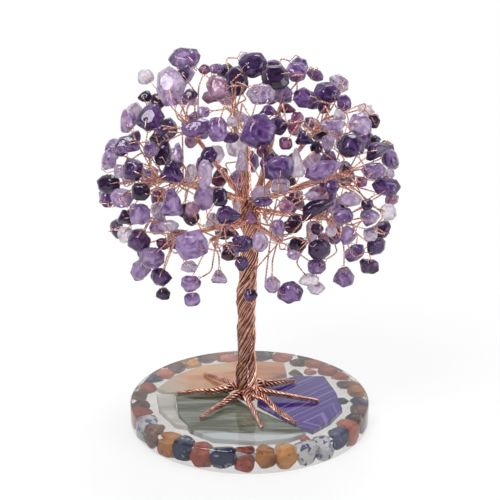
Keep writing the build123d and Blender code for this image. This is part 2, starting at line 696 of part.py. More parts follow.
def rootlets(trunk):
    """Roots on the disc, cut back to the trunk and to each other."""
    nodes = {}
    taken = [trunk]
    for name, shares in ROOT_SHARES.items():
        points, radii = [], []
        for (side, back), wide in zip(shares, ROOT_RADIUS_SHARES):
            radius = max(root_radius * wide, root_tip_radius)
            height = disc_height + root_lift + radius
            points.append(np.array([side * disc_radius, back * disc_radius, height]))
            radii.append(radius)
        route = smooth(points)
        _, shares_along = along(route, disc_radius)
        wide_along = np.interp(shares_along, np.linspace(0, 1, len(radii)), radii)
        for place, wide, share in zip(route, wide_along, shares_along):
            rise = root_rise * max(0, 1 - 2 * share)**2
            place[2] = disc_height + root_lift + wide + rise
        root = taper(route, list(wide_along))
        root = largest(root - taken)
        taken.append(root)
        nodes[name] = [root]
    return nodes


def limb_parts(crown, trunk, trunk_places, trunk_radii):
    """Limbs cut back to the trunk and to each other, and where twigs may start."""
    places, _ = along(trunk_places, pair_radius * 2)
    levels = [place[2] for place in trunk_places]
    crown.add_wire(places, np.interp(places[:, 2], levels, trunk_radii), -2)
    nodes = {}
    taken = [trunk]
    for number, (name, route_px) in enumerate(LIMB_ROUTES.items()):
        route = smooth([crown_place(*row) for row in route_px])
        _, shares = along(route, crown_half_width)
        radii = between(limb_radius, limb_tip_radius, shares)
        limb = taper(route, list(radii))
        limb = largest(limb - taken)
        taken.append(limb)
        nodes[name] = [limb]
        places, shares = along(route, pair_radius * 2)
        crown.add_wire(places, between(limb_radius, limb_tip_radius, shares), number)
        places, shares = along(route, anchor_step)
        for place, share in zip(places, shares):
            reach = between(limb_radius, limb_tip_radius, share)
            if share > anchor_from_share and np.linalg.norm(place - route[-1]) > reach:
                crown.anchors.append((number, place, reach))
    return nodes


def quarter(place):
    return ("left_" if place[0] < 0 else "right_") + ("front" if place[1] < 0 else "back")


def crown_parts(crown, limbs):
    """Every gem with its loop and its twig."""
    nodes = {}
    limb_solids = list(limbs.values())
    placed = []
    left_out = []
    for i, (name, row) in enumerate(HANGING_GEMS_PX.items()):
        *place_px, tone = row
        gem = hanging_gem(crown, *place_px, i)
        if gem is None:
            left_out.append(name)
        else:
            placed.append((name, gem))
    rows = [(tone, row) for tone, rows in FRONT_GEMS_PX.items() for row in rows]
    rows.sort(key=lambda item: -item[1][2] * item[1][3])
    for i, (tone, row) in enumerate(rows):
        gem = front_gem(crown, row, i)
        if gem is None:
            left_out.append(f"front {tone} {row[:2]}")
        else:
            placed.append((f"gems_{tone}_front", gem))
    count = 0
    for height, nearness, first, last, number in RING_ROWS:
        for k in range(number):
            bearing = between(first, last, k / (number - 1))
            size_px = RING_SIZES_PX[count % len(RING_SIZES_PX)]
            tone = RING_TONES[(2 * count) % len(RING_TONES)]
            gem = ring_gem(crown, height, nearness, bearing, size_px, count)
            count += 1
            if gem is None:
                left_out.append(f"ring {height} {bearing:.0f}")
            else:
                side = "front" if gem.place[1] < 0 else "back"
                placed.append((f"gems_{tone}_{side}", gem))
    for name, gem in placed:
        chip, hole = gem_solid(gem)
        nodes.setdefault(name, []).append(chip)
        if gem.swings:
            print("swings", name, [round(float(x), 4) for x in (*hole, *gem.axes[2])])
        nodes.setdefault("loops_" + quarter(gem.place), []).append(loop_solid(gem))
        twig = largest(tube(gem.route, pair_radius) - limb_solids[gem.limb])
        nodes.setdefault("twigs_" + quarter(gem.place), []).append(twig)
    print("gems placed", len(placed), "left out", len(left_out), left_out)
    return nodes


def main():
    trunk_places, trunk_radii = trunk_route()
    trunk = trunk_solid(trunk_places, trunk_radii)
    nodes = {"trunk": [trunk]}
    nodes.update(disc_parts())
    nodes.update(rootlets(trunk))
    crown = Crown()
    limbs = limb_parts(crown, trunk, trunk_places, trunk_radii)
    nodes.update(limbs)
    nodes.update(crown_parts(crown, limbs))
    os.makedirs("parts", exist_ok=True)
    for name, solids in nodes.items():
        shape = solids[0] if len(solids) == 1 else Compound(children=solids)
        export_step(shape, f"parts/{name}.step")
    print(len(nodes), "nodes,", sum(len(solids) for solids in nodes.values()), "solids")


main()
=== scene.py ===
# %% [markdown]
# # A gemstone tree
# Tumbled amethyst chips hang on twisted copper wire over a round disc of clear resin.
# The imported model gives every place and size. It is loaded first and never moved,
# and each piece below is made to fit it.

import json
import math
import random

import bpy
import numpy as np
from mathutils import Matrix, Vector


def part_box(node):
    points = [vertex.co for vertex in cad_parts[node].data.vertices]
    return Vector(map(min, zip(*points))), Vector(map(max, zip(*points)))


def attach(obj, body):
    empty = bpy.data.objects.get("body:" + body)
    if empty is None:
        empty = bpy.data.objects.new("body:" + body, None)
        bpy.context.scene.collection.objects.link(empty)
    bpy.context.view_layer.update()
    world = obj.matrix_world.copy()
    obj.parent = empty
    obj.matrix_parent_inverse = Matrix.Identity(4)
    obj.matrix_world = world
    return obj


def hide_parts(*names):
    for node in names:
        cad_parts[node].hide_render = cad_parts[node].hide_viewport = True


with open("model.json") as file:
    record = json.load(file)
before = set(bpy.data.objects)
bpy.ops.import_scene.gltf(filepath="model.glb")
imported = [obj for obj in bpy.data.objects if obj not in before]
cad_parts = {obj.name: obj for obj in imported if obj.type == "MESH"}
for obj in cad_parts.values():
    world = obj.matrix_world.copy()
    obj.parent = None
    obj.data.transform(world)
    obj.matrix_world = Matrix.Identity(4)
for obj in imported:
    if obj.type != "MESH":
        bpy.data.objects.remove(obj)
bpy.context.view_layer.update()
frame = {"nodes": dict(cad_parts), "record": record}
MM = 0.001

# %% [markdown]
# ## The camera
# The disc's outline in the photograph fixes the camera: a long lens, a little over half
# a metre away, looking down at about nineteen degrees.

# %% Camera
FOCAL_PX = 1350
FRAME_PX = 500
SENSOR_MM = 36
camera_side = 0.2 * MM
camera_pitch = math.radians(18.84)
camera_distance = 546.5 * MM
camera_aim_height = 75.1 * MM

camera_data = bpy.data.cameras.new("camera")
camera_data.sensor_width = SENSOR_MM
camera_data.lens = SENSOR_MM * FOCAL_PX / FRAME_PX
camera = bpy.data.objects.new("camera", camera_data)
camera.location = (
    camera_side,
    -camera_distance * math.cos(camera_pitch),
    camera_aim_height + camera_distance * math.sin(camera_pitch),
)
camera.rotation_euler = (math.pi / 2 - camera_pitch, 0, 0)
bpy.context.collection.objects.link(camera)
bpy.context.scene.camera = camera
bpy.context.scene.view_settings.view_transform = "Standard"
print("lens", round(camera_data.lens, 1), "mm")

# %% [markdown]
# ## Lamps
# Three large soft lamps give the wire long glints without hard shadows: a key from the
# upper left, a weaker fill from the right, and one above and behind that edges the
# crown. They could be bare points, but a polished chip would then show pinpricks.

# %% Lamps
CROWN_MIDDLE = (0, 0, 0.09)
LAMPS = {
    "key_lamp": ((-0.45, -0.55, 0.75), 0.45, 6.2),
    "fill_lamp": ((0.7, -0.35, 0.35), 0.5, 2.6),
    "back_lamp": ((0.1, 0.3, 0.95), 0.4, 3.6),
}
for name, (place, size, power) in LAMPS.items():
    lamp_data = bpy.data.lights.new(name, "AREA")
    lamp_data.size = size
    lamp_data.energy = power
    lamp = bpy.data.objects.new(name, lamp_data)
    lamp.location = place
    toward_crown = Vector(CROWN_MIDDLE) - Vector(place)
    lamp.rotation_euler = toward_crown.to_track_quat("-Z", "Y").to_euler()
    bpy.context.collection.objects.link(lamp)
print(len(LAMPS), "lamps")

# %% [markdown]
# ## Small parts of a node tree
# Most patterns need the same few nodes: a sum, a value spread over a new range, and a
# test for the rays that the camera follows. Each gets a short function, so that a
# material below reads as a list of steps.

# %% Node helpers
def maths(nodes, links, operation, *values):
    """The result of a Math node, fed with sockets or plain numbers."""
    node = nodes.new("ShaderNodeMath")
    node.operation = operation
    for socket, value in zip(node.inputs, values):
        if isinstance(value, (int, float)):
            socket.default_value = value
        else:
            links.new(value, socket)
    return node.outputs[0]


def spread_out(nodes, links, value, low, high, least=0.0, smooth=False):
    """A value spread over a range: the least at its low end, and one at its high end."""
    node = nodes.new("ShaderNodeMapRange")
    if smooth:
        node.interpolation_type = "SMOOTHSTEP"
    node.inputs["From Min"].default_value = low
    node.inputs["From Max"].default_value = high
    node.inputs["To Min"].default_value = least
    links.new(value, node.inputs["Value"])
    return node.outputs["Result"]


def seen_rays(nodes, links):
    """One for what the camera sees, straight or through glass or off metal."""
    path = nodes.new("ShaderNodeLightPath")
    total = path.outputs["Is Camera Ray"]
    for other in ("Is Glossy Ray", "Is Transmission Ray"):
        total = maths(nodes, links, "MAXIMUM", total, path.outputs[other])
    return total


print("node helpers ready")

# %% [markdown]
# ## The room round the object
# Metal shows what stands round it, so a room that is white all over makes copper look
# flat. Here the camera sees plain white, and glass and metal see white behind the object
# and dim in front, as in a room with one white wall. That gives the wire its dark and
# bright sides. As a light, the room is dimmer still.

# %% World
ROOM_LIGHT = 0.42
DIM_SIDE = 0.16
WALL_EDGE = 0.35

world = bpy.data.worlds.new("studio")
bpy.context.scene.world = world
world.use_nodes = True
nodes, links = world.node_tree.nodes, world.node_tree.links
nodes.clear()
dim = nodes.new("ShaderNodeBackground")
dim.inputs["Color"].default_value = (0.93, 0.95, 1.0, 1)
dim.inputs["Strength"].default_value = ROOM_LIGHT
white = nodes.new("ShaderNodeBackground")
white.inputs["Color"].default_value = (1, 1, 1, 1)
direction = nodes.new("ShaderNodeTexCoord")
split = nodes.new("ShaderNodeSeparateXYZ")
links.new(direction.outputs["Generated"], split.inputs[0])
wall = spread_out(nodes, links, split.outputs["Y"], -WALL_EDGE, WALL_EDGE, DIM_SIDE)
camera_sees = nodes.new("ShaderNodeLightPath")
strength = maths(nodes, links, "MAXIMUM", camera_sees.outputs["Is Camera Ray"], wall)
links.new(strength, white.inputs["Strength"])
choose = nodes.new("ShaderNodeMixShader")
out = nodes.new("ShaderNodeOutputWorld")
links.new(seen_rays(nodes, links), choose.inputs["Fac"])
links.new(dim.outputs[0], choose.inputs[1])
links.new(white.outputs[0], choose.inputs[2])
links.new(choose.outputs[0], out.inputs["Surface"])
print("room light", ROOM_LIGHT)

# %% [markdown]
# ## The floor
# The floor is white paper. Away from the object it shows as plain white, and near it the
# lamps' light counts too, so the shadow stays.

# %% Floor
FLOOR_RADIUS = 3
FADE_START, FADE_END = 0.06, 0.2
WHITE_NEAR_OBJECT = 0.62

bpy.ops.mesh.primitive_circle_add(vertices=96, radius=FLOOR_RADIUS, fill_type="NGON", location=(0, 0, 0))
floor = bpy.context.object
floor.name = "floor"
floor_paint = bpy.data.materials.new("floor_paint")
floor_paint.use_nodes = True
nodes, links = floor_paint.node_tree.nodes, floor_paint.node_tree.links
floor_shader = nodes["Principled BSDF"]
floor_shader.inputs["Base Color"].default_value = (0.9, 0.9, 0.9, 1)
floor_shader.inputs["Roughness"].default_value = 0.6
place = nodes.new("ShaderNodeTexCoord")
from_middle = nodes.new("ShaderNodeVectorMath")
from_middle.operation = "LENGTH"
links.new(place.outputs["Object"], from_middle.inputs[0])
fade = spread_out(nodes, links, from_middle.outputs["Value"], FADE_START, FADE_END,
                  WHITE_NEAR_OBJECT, smooth=True)
paper = nodes.new("ShaderNodeEmission")
paper.inputs["Color"].default_value = (1, 1, 1, 1)
blend = nodes.new("ShaderNodeMixShader")
links.new(maths(nodes, links, "MULTIPLY", seen_rays(nodes, links), fade), blend.inputs["Fac"])
links.new(floor_shader.outputs[0], blend.inputs[1])
links.new(paper.outputs[0], blend.inputs[2])
links.new(blend.outputs[0], nodes["Material Output"].inputs["Surface"])
floor.data.materials.append(floor_paint)
print("floor", FLOOR_RADIUS, "m in radius")

# %% [markdown]
# ## Reading places from the model
# A node of the model is loose triangles. A merged copy can be taken apart into its
# separate solids, which tells where each chip and each wire lies. The threshold is far
# under the thinnest wire, so nothing is welded that ought to stay apart.

# %% Helpers that read the model
WELD = 0.002 * MM


def deselect():
    """Nothing selected, so that the next operator works on one piece alone."""
    bpy.ops.object.select_all(action="DESELECT")


def merged_copy(node, name):
    """A copy of a node's mesh with its doubles merged, as the active object."""
    deselect()
    source = frame["nodes"][node]
    copy = bpy.data.objects.new(name, source.data.copy())
    copy.data.materials.clear()
    bpy.context.collection.objects.link(copy)
    bpy.context.view_layer.objects.active = copy
    copy.select_set(True)
    bpy.ops.object.mode_set(mode="EDIT")
    bpy.ops.mesh.select_all(action="SELECT")
    bpy.ops.mesh.remove_doubles(threshold=WELD)
    bpy.ops.object.mode_set(mode="OBJECT")
    return copy


def islands(mesh):
    """Lists of vertex numbers, one for each separate solid."""
    parent = list(range(len(mesh.vertices)))

    def root(i):
        while parent[i] != i:
            parent[i] = parent[parent[i]]
            i = parent[i]
        return i

    for edge in mesh.edges:
        a, b = root(edge.vertices[0]), root(edge.vertices[1])
        parent[a] = b
    groups = {}
    for i in range(len(parent)):
        groups.setdefault(root(i), []).append(i)
    return list(groups.values())


def places_of(mesh):
    """A mesh's points as an array, one row each."""
    flat = np.empty(3 * len(mesh.vertices))
    mesh.vertices.foreach_get("co", flat)
    return flat.reshape(-1, 3)


def matching(prefix):
    """The names of the nodes that start with a prefix, in order."""
    return sorted(name for name in frame["nodes"] if name.startswith(prefix))


print(len(frame["nodes"]), "nodes,", len(matching("gems_")), "of them gem groups")

# %% [markdown]
# ## Copper
# Bright drawn copper wire is pinkish and mirror-like, and darkens to brown where it is
# rubbed or shaded. Metal takes all its colour from its base colour, so the pattern goes
# there, and a fine bump breaks up the glints.

# %% Copper
def new_material(name):
    """A material, its nodes and links, and the shader that it starts with."""
    material = bpy.data.materials.new(name)
    material.use_nodes = True
    tree = material.node_tree
    return material, tree.nodes, tree.links, tree.nodes["Principled BSDF"]


def object_noise(nodes, links, scale, detail=3.0, distortion=0.0):
    """Noise on the object's own coordinates, in features per metre."""
    place = nodes.new("ShaderNodeTexCoord")
    noise = nodes.new("ShaderNodeTexNoise")
    noise.inputs["Scale"].default_value = scale
    noise.inputs["Detail"].default_value = detail
    noise.inputs["Distortion"].default_value = distortion
    links.new(place.outputs["Object"], noise.inputs["Vector"])
    return noise


def colour_ramp(nodes, stops):
    """Colours at rising places from nought to one."""
    ramp = nodes.new("ShaderNodeValToRGB")
    ramp.color_ramp.elements[0].position = stops[0][0]
    ramp.color_ramp.elements[0].color = (*stops[0][1], 1)
    ramp.color_ramp.elements[1].position = stops[-1][0]
    ramp.color_ramp.elements[1].color = (*stops[-1][1], 1)
    for place, colour in stops[1:-1]:
        ramp.color_ramp.elements.new(place).color = (*colour, 1)
    return ramp


def bumpy(nodes, links, shader, height, strength, distance):
    """Small bumps on a surface, from the height that a pattern gives."""
    bump = nodes.new("ShaderNodeBump")
    bump.inputs["Strength"].default_value = strength
    bump.inputs["Distance"].default_value = distance
    links.new(height, bump.inputs["Height"])
    links.new(bump.outputs["Normal"], shader.inputs["Normal"])


def copper(name, bright, deep):
    """Polished copper with blotches of a deeper tone and a fine grain."""
    material, nodes, links, shader = new_material(name)
    blotches = object_noise(nodes, links, 260)
    ramp = colour_ramp(nodes, [(0.3, deep), (0.62, bright)])
    links.new(blotches.outputs["Fac"], ramp.inputs["Fac"])
    links.new(ramp.outputs["Color"], shader.inputs["Base Color"])
    shader.inputs["Metallic"].default_value = 1.0
    shader.inputs["Roughness"].default_value = 0.15
    grain = object_noise(nodes, links, 2600, detail=2)
    bumpy(nodes, links, shader, grain.outputs["Fac"], 0.25, 0.03 * MM)
    return material


wire_copper = copper("wire_copper", (0.86, 0.52, 0.42), (0.50, 0.21, 0.15))
bundle_copper = copper("bundle_copper", (0.90, 0.56, 0.46), (0.50, 0.22, 0.16))
# A darker copy of the copper for every third trunk wire: painted shade that sets the lines apart.
painted_shade_strand_copper = copper("painted_shade_strand_copper", (0.46, 0.21, 0.15), (0.22, 0.08, 0.055))
# Near-black copper for the cores: painted shade in the gaps between the wires.
painted_shade_copper = copper("painted_shade_copper", (0.10, 0.04, 0.03), (0.05, 0.02, 0.015))
print("copper ready")

# %% [markdown]
# ## Wire as curves
# A wire is a curve with a round bevel, because its line is what matters. Many wires go
# into one curve object, which is then turned into a mesh.

# %% Wires from lines
def wires(name, lines, radius, material, sides=1):
    """One mesh of many round wires. Each line is a list of places and a radius scale."""
    curve = bpy.data.curves.new(name, "CURVE")
    curve.dimensions = "3D"
    curve.bevel_depth = radius
    curve.bevel_resolution = sides
    curve.use_fill_caps = True
    for line, scales in lines:
        spline = curve.splines.new("POLY")
        spline.points.add(len(line) - 1)
        flat = np.ones((len(line), 4))
        flat[:, :3] = line
        spline.points.foreach_set("co", flat.ravel())
        spline.points.foreach_set("radius", np.broadcast_to(scales, len(line)).astype(float))
        spline.use_smooth = True
    piece = bpy.data.objects.new(name, curve)
    bpy.context.collection.objects.link(piece)
    deselect()
    piece.select_set(True)
    bpy.context.view_layer.objects.active = piece
    bpy.ops.object.convert(target="MESH")
    piece = bpy.context.object
    piece.data.materials.clear()
    piece.data.materials.append(material)
    return piece


def evenly(points, step):
    """Points about a step apart along a line."""
    points = np.array(points, float)
    runs = np.linalg.norm(np.diff(points, axis=0), axis=1)
    at = np.concatenate([[0], np.cumsum(runs)])
    count = max(2, int(at[-1] / step) + 1)
    wanted = np.linspace(0, at[-1], count)
    return np.stack([np.interp(wanted, at, points[:, k]) for k in range(3)], axis=1), wanted


def side_axes(points):
    """Two directions square to a line at each of its points, which don't twist."""
    tangents = np.gradient(points, axis=0)
    tangents /= np.linalg.norm(tangents, axis=1)[:, None]
    start = np.cross(tangents[0], [0.3, 0.9, 0.2])
    first = [start / np.linalg.norm(start)]
    for tangent in tangents[1:]:
        next_one = first[-1] - tangent * (first[-1] @ tangent)
        first.append(next_one / np.linalg.norm(next_one))
    first = np.array(first)
    return first, np.cross(tangents, first)


def helix_round(points, offset, turn_rate, phase, step):
    """A line wound round another at an offset, which may vary along it."""
    line, at = evenly(points, step)
    first, second = side_axes(line)
    angle = phase + at * turn_rate * 2 * math.pi
    if not np.isscalar(offset):
        offset = np.interp(at, np.linspace(0, at[-1], len(offset)), offset)[:, None]
    return line + offset * (first * np.cos(angle)[:, None] + second * np.sin(angle)[:, None])


print("wire helpers ready")

# %% [markdown]
# ## The line down a wire or a limb
# The model's wires are plain tubes: rings of points joined by long triangles. From one
# end ring, the next ring is all the points joined to it, and so on. The middle of each
# ring is a point of the wire's line, and its size is the wire's radius.

# %% Lines from tubes
WHOLE_RING_SHARE = 0.6


def neighbours(mesh):
    """For each point, the points that an edge joins it to."""
    joined = [set() for _ in mesh.vertices]
    for edge in mesh.edges:
        a, b = edge.vertices
        joined[a].add(b)
        joined[b].add(a)
    return joined


def tube_line(places, joined, members, start, ring_width):
    """Ring middles and radii, from the ring round a starting vertex."""
    members = list(members)
    gaps = np.linalg.norm(places[members] - places[start], axis=1)
    ring = {members[i] for i in np.nonzero(gaps < ring_width)[0]}
    seen = set(ring)
    middles, radii = [], []
    full = len(ring)
    while ring:
        spots = places[list(ring)]
        middle = spots.mean(axis=0)
        if len(ring) >= WHOLE_RING_SHARE * full:
            middles.append(middle)
            radii.append(np.linalg.norm(spots - middle, axis=1).mean())
        ring = {n for v in ring for n in joined[v]} - seen
        seen |= ring
    return middles, radii


def limb_line(node, far_from, ring_width):
    """A tapered limb or root, from its tip inwards."""
    copy = merged_copy(node, "reading")
    places = places_of(copy.data)
    joined = neighbours(copy.data)
    start = int(np.argmax(np.linalg.norm(places - np.array(far_from), axis=1)))
    middles, radii = tube_line(places, joined, range(len(places)), start, ring_width)
    bpy.data.objects.remove(copy)
    return middles, radii


FORK = np.array([-1.0 * MM, 0, 95 * MM])
FOOT = np.array([-1.4 * MM, 0, 10 * MM])
LIMB_RING, ROOT_RING = 2.2 * MM, 2.0 * MM
limb_lines = {n: limb_line(n, FORK, LIMB_RING) for n in matching("limb_")}
root_lines = {n: limb_line(n, FOOT, ROOT_RING) for n in matching("root_")}
for name, (middles, radii) in {**limb_lines, **root_lines}.items():
    ends = round(radii[0] / MM, 2), round(radii[-1] / MM, 2)
    print(name, len(middles), "rings, radii at tip and base", *ends, "mm")

# %% [markdown]
# ## The trunk
# The trunk is one thick bundle. Its wires were twisted together by hand, so they run
# diagonally, a few lie proud of the rest, and they spread at the foot and at the fork.
# Every third wire is painted darker, as painted shade that sets the lines apart, and a core
# painted dark, as the shade between the wires, fills the gaps where the inner wires lie.

# %% Trunk profile
trunk_mesh = frame["nodes"]["trunk"].data
trunk_places = places_of(trunk_mesh)
trunk_low, trunk_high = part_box("trunk")
TRUNK_LEVELS = 30
TRUNK_REACH = 5.5 * MM
trunk_levels = np.linspace(trunk_low[2] + 1.3 * MM, trunk_high[2] - 0.2 * MM, TRUNK_LEVELS)


def trunk_at(z):
    """Middle and radius of the trunk at a height, from the model's points round there."""
    near = trunk_places[np.abs(trunk_places[:, 2] - z) < TRUNK_REACH]
    weights = 1 / (np.abs(near[:, 2] - z) + 0.3 * MM)
    middle = np.average(near[:, :2], axis=0, weights=weights)
    radius = np.average(np.linalg.norm(near[:, :2] - middle, axis=1), weights=weights)
    return np.array([*middle, z]), radius


trunk_line = np.array([trunk_at(z)[0] for z in trunk_levels])
trunk_radii = np.array([trunk_at(z)[1] for z in trunk_levels])
print("trunk radius", np.round(trunk_radii[::6] / MM, 2), "mm")

# %% [markdown]
# The wires themselves are helices. Thirty-four lie side by side on the trunk's skin, and
# nine more stand a little proud of them with a quicker twist, as stray wires do. Each
# drifts in and out by a tenth of a millimetre, because hands aren't machines.

# %% Trunk wires
STRAND = 0.265 * MM
TRUNK_TWIST = 24.0
TRUNK_STRANDS = 34
PROUD_WIRES = 9
HELIX_STEP = 1.1 * MM
DRIFT_KNOTS = 7
PAINTED_SHADE_EVERY = 3
CORE_UNIT = 3 * MM


def wavy(count, size, seed):
    """A gentle random drift along a wire."""
    values = random.Random(seed)
    knots = [values.uniform(-size, size) for _ in range(DRIFT_KNOTS)]
    return np.interp(np.linspace(0, DRIFT_KNOTS - 1, count), range(DRIFT_KNOTS), knots)


rng = random.Random(11)
trunk_wires = []
for i in range(TRUNK_STRANDS):
    offset = trunk_radii - STRAND * 0.9 + wavy(TRUNK_LEVELS, 0.12 * MM, 100 + i)
    phase = 2 * math.pi * i / TRUNK_STRANDS + rng.uniform(-0.05, 0.05)
    line = helix_round(trunk_line, offset, TRUNK_TWIST, phase, HELIX_STEP)
    trunk_wires.append((line, rng.uniform(0.85, 1.12)))
for i in range(PROUD_WIRES):
    offset = trunk_radii + STRAND * 0.55 + wavy(TRUNK_LEVELS, 0.1 * MM, 200 + i)
    second_group = i > PROUD_WIRES // 2
    phase = 0.9 + 0.19 * i + (2.2 if second_group else 0)
    line = helix_round(trunk_line, offset, TRUNK_TWIST + 5 + (i % 3), phase, HELIX_STEP)
    trunk_wires.append((line, rng.uniform(0.9, 1.1)))
# Every third wire takes the darker copper, as painted shade between the lines.
bright_wires = [wire for i, wire in enumerate(trunk_wires) if i % PAINTED_SHADE_EVERY]
painted_shade_wires = trunk_wires[::PAINTED_SHADE_EVERY]
trunk_bundle = wires("trunk_wires", bright_wires, STRAND, bundle_copper, sides=1)
trunk_painted_shade = wires("trunk_wires_painted_shade", painted_shade_wires, STRAND, painted_shade_strand_copper, sides=1)
core_scales = (trunk_radii - 2.1 * STRAND) / CORE_UNIT
# The trunk's core is painted dark: painted shade in the gaps between its wires.
core = wires("trunk_core", [(trunk_line, core_scales)], CORE_UNIT, painted_shade_copper, sides=6)
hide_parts("trunk")
for piece in (trunk_bundle, trunk_painted_shade, core):
    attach(piece, "tree")
print("trunk", len(trunk_bundle.data.polygons), "faces")

# %% [markdown]
# ## Limbs and roots
# Each limb or root is a share of the trunk's wires that parts from it. Its wires start
# on the trunk's skin, bend over and run on in a thinner twist, so the eye sees one
# bundle dividing. Each root's wires thin out towards its tip.

# %% Limbs and roots
BUNDLE_STEP = 1.6 * MM
BUNDLE_HELIX_STEP = 0.9 * MM
STEADY_TIP = 6 * MM


def bundle(name, line, radii, count, twist, seed, strand, thin_tip, wander):
    """A tapering bundle with a core painted dark as shade, replacing the node of the same name.

    The whole bundle wanders a little from its line, except near its tip.
    """
    line, radii = np.array(line), np.array(radii)
    runs = np.linalg.norm(np.diff(line, axis=0), axis=1)
    smooth_line, at = evenly(line, BUNDLE_STEP)
    full = np.interp(at, np.concatenate([[0], np.cumsum(runs)]), radii)
    full = np.maximum(full * np.interp(at, [0, at[-1]], [thin_tip, 1]), 1.5 * strand)
    first, second = side_axes(smooth_line)
    ease = np.minimum(at / STEADY_TIP, 1)[:, None]
    smooth_line = smooth_line + ease * first * wavy(len(at), wander, seed + 50)[:, None]
    smooth_line = smooth_line + ease * second * wavy(len(at), 0.4 * wander, seed + 51)[:, None]
    chance = random.Random(seed)
    strands = []
    for i in range(count):
        scale = np.clip(full / full.max(), 0.3, 1) * chance.uniform(0.85, 1.1)
        offset = full - strand * scale + wavy(len(full), 0.07 * MM, seed + i)
        phase = 2 * math.pi * i / count
        wound = helix_round(smooth_line, offset, twist, phase, BUNDLE_HELIX_STEP)
        scales = np.interp(np.linspace(0, 1, len(wound)), np.linspace(0, 1, len(scale)), scale)
        strands.append((wound, scales))
    piece = wires(name + "_wires", strands, strand, bundle_copper)
    # The bundle's core is painted dark: painted shade in the gaps between its wires.
    inner = wires(name + "_core", [(smooth_line, (full - 1.5 * strand).clip(0.2 * MM) / MM)],
                  1 * MM, painted_shade_copper, sides=3)
    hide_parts(name)
    for part in (piece, inner):
        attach(part, "tree")


def onto_trunk(point, height, spread=0.55):
    """A place just inside the trunk's skin, on the side that faces a point."""
    middle, radius = trunk_at(height)
    away = np.array(point[:2]) - middle[:2]
    away = away / max(np.linalg.norm(away), 1e-6)
    return np.array([*(middle[:2] + away * radius * spread), height])


print("bundle helpers ready")

# %% [markdown]
# Near the trunk the model's rings are left out, and three places inside the trunk's skin
# take over, one below the other. The bundle then bends over into the trunk, instead of
# ending on it.

# %% Place the limbs and roots
LIMB_DROPS = (1.5 * MM, 8 * MM, 16 * MM)
LIMB_ENDS = [1.4 * MM, 1.3 * MM, 1.0 * MM]
LIMB_CLEAR = 6 * MM
LIMB_SHAPE = dict(count=7, twist=60, strand=0.42 * MM, thin_tip=0.85, wander=0.5 * MM)
ROOT_RISES = (4.6 * MM, 10 * MM, 18 * MM)
ROOT_ENDS = [1.9 * MM, 1.6 * MM, 1.2 * MM]
ROOT_CLEAR = 5.5 * MM
ROOT_SHAPE = dict(count=6, twist=85, strand=0.4 * MM, thin_tip=0.95, wander=0.7 * MM)
ROOT_SPREAD = 0.62

for number, (name, (middles, radii)) in enumerate(limb_lines.items()):
    outer = [m for m in middles if np.linalg.norm(m - FORK) > LIMB_CLEAR]
    wide = [radii[i] for i in range(len(outer))]
    start = outer[-1]
    height = min(start[2], trunk_high[2])
    tail = [onto_trunk(start, height - drop) for drop in LIMB_DROPS]
    bundle(name, outer + tail, wide + LIMB_ENDS, seed=300 + 20 * number, **LIMB_SHAPE)
for number, (name, (middles, radii)) in enumerate(root_lines.items()):
    outer = [m for m in middles if np.linalg.norm(m[:2] - FOOT[:2]) > ROOT_CLEAR]
    wide = [radii[i] for i in range(len(outer))]
    start = outer[-1]
    up = [onto_trunk(start, trunk_low[2] + rise, ROOT_SPREAD) for rise in ROOT_RISES]
    bundle(name, outer + up, wide + ROOT_ENDS, seed=700 + 20 * number, **ROOT_SHAPE)
print(len(limb_lines), "limbs and", len(root_lines), "roots")

# %% [markdown]
# ## Twigs
# Every chip is held by one wire, bent double and twisted into a pair. Two thin wires
# wind round the line of the model's twig, half a turn apart. The turns are an angle that
# grows with length, which is simpler than bending a twisted model along each line.

# %% Twisted twigs
WIRE = 0.175 * MM
PAIR_TWIST = 430.0
TWIG_RING = 0.71 * MM
PAIR_STEP = 0.3 * MM
all_loops = np.vstack([places_of(frame["nodes"][n].data) for n in matching("loops_")])


def twig_lines(node):
    """The line of each twig, from the end that meets a loop."""
    copy = merged_copy(node, "reading")
    places = places_of(copy.data)
    joined = neighbours(copy.data)
    lines = []
    for members in islands(copy.data):
        spots = places[members]
        low, high = spots.min(axis=0) - 0.5 * MM, spots.max(axis=0) + 0.5 * MM
        near = all_loops[np.all((all_loops > low) & (all_loops < high), axis=1)]
        gaps = np.array([np.min(np.linalg.norm(near - spot, axis=1)) for spot in spots])
        start = members[int(np.argmin(gaps))]
        middles, _ = tube_line(places, joined, members, start, TWIG_RING)
        lines.append(middles)
    bpy.data.objects.remove(copy)
    return lines


def deeper(line, reach=1.2 * MM):
    """The line carried on a little way, into the limb that holds it."""
    direction = line[-1] - line[-2]
    return [*line, line[-1] + direction / np.linalg.norm(direction) * reach]


twig_count = 0
for node in matching("twigs_"):
    pairs = []
    for line in twig_lines(node):
        if len(line) < 2:
            continue
        line = deeper(line)
        for phase in (0, math.pi):
            wound = helix_round(line, WIRE * 1.05, PAIR_TWIST, phase + twig_count, PAIR_STEP)
            pairs.append((wound, 1.0))
        twig_count += 1
    twisted = wires(node + "_twisted", pairs, WIRE, wire_copper, sides=0)
    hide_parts(node)
    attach(twisted, "tree")
    print(node, len(pairs) // 2, "twigs,", len(twisted.data.polygons), "faces")

# %% [markdown]
# The loops could be wound again too, but they pass through drilled holes with little
# room, so the model's own shape is the safe one. A Decimate modifier thins its faces.

# %% Loops
LOOP_FACES_SHARE = 0.3
for node in matching("loops_"):
    loops = merged_copy(node, node + "_drawn")
    fewer = loops.modifiers.new("fewer", "DECIMATE")
    fewer.ratio = LOOP_FACES_SHARE
    bpy.ops.object.modifier_apply(modifier="fewer")
    bpy.ops.object.shade_smooth()
    loops.data.materials.append(wire_copper)
    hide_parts(node)
    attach(loops, "tree")
    print(node, len(loops.data.polygons), "faces")

